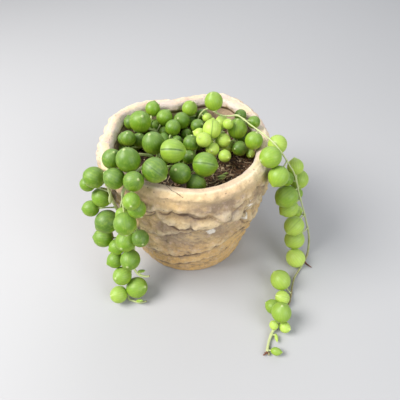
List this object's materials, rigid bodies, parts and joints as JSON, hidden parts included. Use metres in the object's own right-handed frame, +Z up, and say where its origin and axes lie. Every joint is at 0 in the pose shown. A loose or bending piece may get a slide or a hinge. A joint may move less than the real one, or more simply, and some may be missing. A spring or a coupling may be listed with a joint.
{
  "type": "potted string of pearls",
  "caption": "Trailing succulent with round pearl-like leaves growing in a small hand-built glazed pot, its stems hanging over the rim and resting on the surface.",
  "frame": {"origin": "middle of the pot's foot, on the surface that the pot stands on", "axes": "+Z up; -Y is the side that faces a viewer, with two groups of stems over the rim at -X and one at +X"},
  "size_m": [0.1107, 0.1101, 0.08],
  "materials": {
    "pot_clay": "thin satin glaze over rough tan clay, worn to pinkish clay at the rim",
    "potting_mix": "loose, matte, with bark chips and fibres",
    "crown_leaf": "smooth waxy skin with a faint bloom",
    "trail_leaf": "smooth waxy skin, lighter green",
    "young_leaf": "smooth waxy skin, yellow-green"
  },
  "bodies": {
    "root": {"pot": "pot_clay", "soil": "potting_mix", "trail_right": "trail_leaf", "trail_left_long": "crown_leaf", "trail_left_front": "crown_leaf", "trail_left_inner": "crown_leaf", "crown_back_left": "crown_leaf", "crown_left": "crown_leaf", "crown_middle": "crown_leaf", "crown_back": "crown_leaf", "crown_centre": "crown_leaf", "crown_front": "crown_leaf", "crown_young": "young_leaf", "crown_right": "crown_leaf"}
  },
  "joints": []
}
